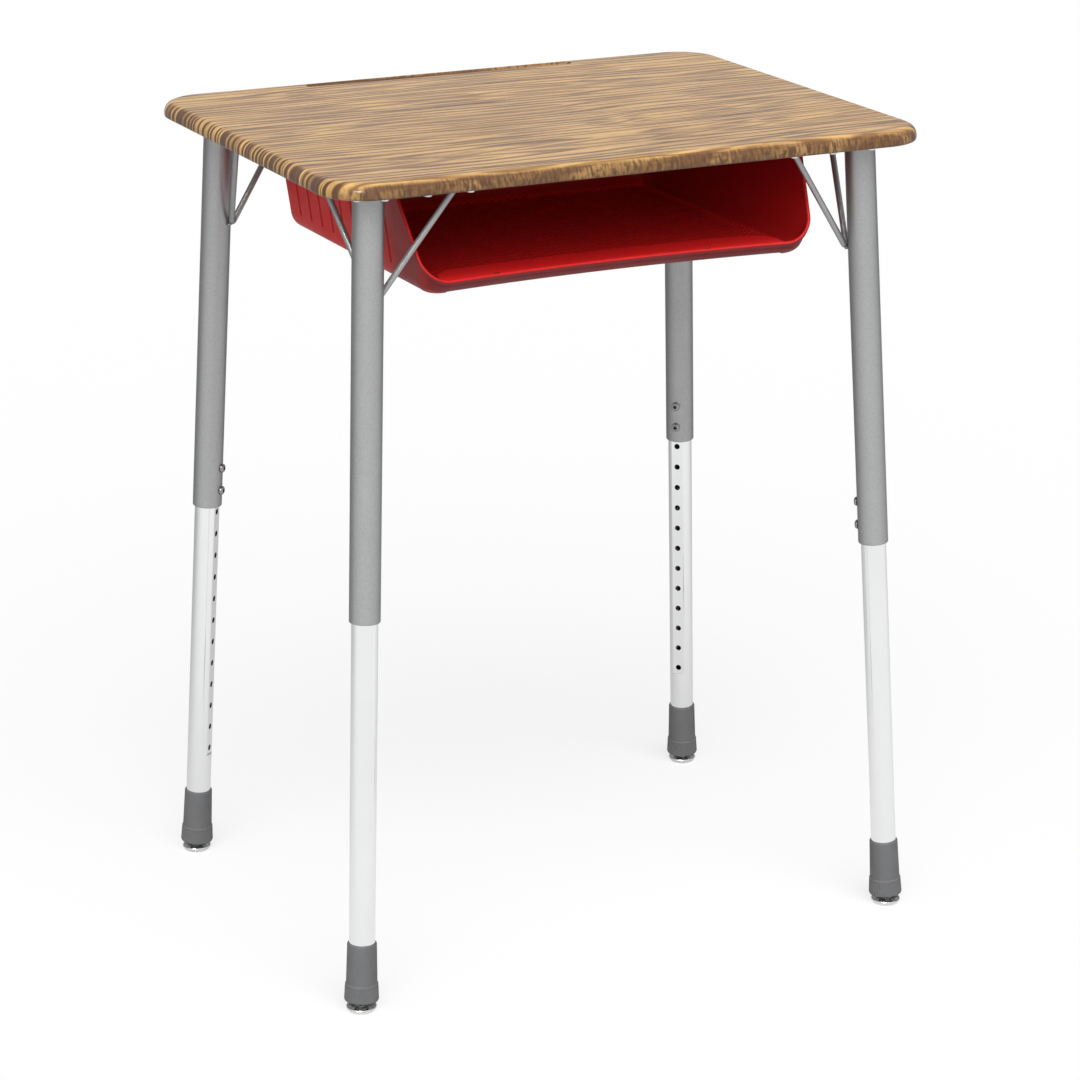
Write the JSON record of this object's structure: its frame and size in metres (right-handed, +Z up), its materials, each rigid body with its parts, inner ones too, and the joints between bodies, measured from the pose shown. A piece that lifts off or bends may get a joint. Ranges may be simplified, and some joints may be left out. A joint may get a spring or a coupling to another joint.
{
  "type": "student desk",
  "caption": "Student desk with a rounded wood-grain work surface, splayed telescoping legs on swivel glides, V-rod braces and an open-fronted moulded book box under the top.",
  "frame": {"origin": "on the floor under the middle of the work surface", "axes": "+Z up, +X along the width to the pupil's right, -Y towards the pupil and the book box's mouth"},
  "size_m": [0.6604, 0.508, 0.86],
  "materials": {
    "wood_grain_top": "satin",
    "red_box_plastic": "satin",
    "grey_powder_coat": "satin",
    "chrome_plate": "polished",
    "grey_boot_plastic": "matte",
    "zinc_steel": "satin"
  },
  "bodies": {
    "desk_frame": {"work_surface": "wood_grain_top", "book_box": "red_box_plastic", "book_box_screws": "zinc_steel", "front_left_mounting_plate": "grey_powder_coat", "front_left_upper_leg_tube": "grey_powder_coat", "front_left_leg_brace": "grey_powder_coat", "front_left_plate_screws": "zinc_steel", "front_left_adjusting_screws": "zinc_steel", "front_right_mounting_plate": "grey_powder_coat", "front_right_upper_leg_tube": "grey_powder_coat", "front_right_leg_brace": "grey_powder_coat", "front_right_plate_screws": "zinc_steel", "front_right_adjusting_screws": "zinc_steel", "rear_left_mounting_plate": "grey_powder_coat", "rear_left_upper_leg_tube": "grey_powder_coat", "rear_left_leg_brace": "grey_powder_coat", "rear_left_plate_screws": "zinc_steel", "rear_left_adjusting_screws": "zinc_steel", "rear_right_mounting_plate": "grey_powder_coat", "rear_right_upper_leg_tube": "grey_powder_coat", "rear_right_leg_brace": "grey_powder_coat", "rear_right_plate_screws": "zinc_steel", "rear_right_adjusting_screws": "zinc_steel"},
    "front_left_leg": {"front_left_leg_insert": "chrome_plate", "front_left_foot_boot": "grey_boot_plastic", "front_left_glide_ball_stud": "zinc_steel"},
    "front_left_glide": {"front_left_glide_dish": "zinc_steel"},
    "front_right_leg": {"front_right_leg_insert": "chrome_plate", "front_right_foot_boot": "grey_boot_plastic", "front_right_glide_ball_stud": "zinc_steel"},
    "front_right_glide": {"front_right_glide_dish": "zinc_steel"},
    "rear_left_leg": {"rear_left_leg_insert": "chrome_plate", "rear_left_foot_boot": "grey_boot_plastic", "rear_left_glide_ball_stud": "zinc_steel"},
    "rear_left_glide": {"rear_left_glide_dish": "zinc_steel"},
    "rear_right_leg": {"rear_right_leg_insert": "chrome_plate", "rear_right_foot_boot": "grey_boot_plastic", "rear_right_glide_ball_stud": "zinc_steel"},
    "rear_right_glide": {"rear_right_glide_dish": "zinc_steel"}
  },
  "joints": [
    {"name": "front_left_height_slide", "type": "slide", "parent": "desk_frame", "child": "front_left_leg", "axis": [0.0444, 0.0444, 0.998], "range_m": [0, 0.3048]},
    {"name": "front_left_glide_tilt", "type": "hinge", "parent": "front_left_leg", "child": "front_left_glide", "pos_m": [-0.31147, -0.23527, 0.00619], "axis": [0.7071, -0.7071, 0], "range_deg": [-10, 10]},
    {"name": "front_right_height_slide", "type": "slide", "parent": "desk_frame", "child": "front_right_leg", "axis": [-0.0444, 0.0444, 0.998], "range_m": [0, 0.3048]},
    {"name": "front_right_glide_tilt", "type": "hinge", "parent": "front_right_leg", "child": "front_right_glide", "pos_m": [0.31147, -0.23527, 0.00619], "axis": [0.7071, 0.7071, 0], "range_deg": [-10, 10]},
    {"name": "rear_left_height_slide", "type": "slide", "parent": "desk_frame", "child": "rear_left_leg", "axis": [0.0444, -0.0444, 0.998], "range_m": [0, 0.3048]},
    {"name": "rear_left_glide_tilt", "type": "hinge", "parent": "rear_left_leg", "child": "rear_left_glide", "pos_m": [-0.31147, 0.23527, 0.00619], "axis": [-0.7071, -0.7071, 0], "range_deg": [-10, 10]},
    {"name": "rear_right_height_slide", "type": "slide", "parent": "desk_frame", "child": "rear_right_leg", "axis": [-0.0444, -0.0444, 0.998], "range_m": [0, 0.3048]},
    {"name": "rear_right_glide_tilt", "type": "hinge", "parent": "rear_right_leg", "child": "rear_right_glide", "pos_m": [0.31147, 0.23527, 0.00619], "axis": [-0.7071, 0.7071, 0], "range_deg": [-10, 10]}
  ]
}
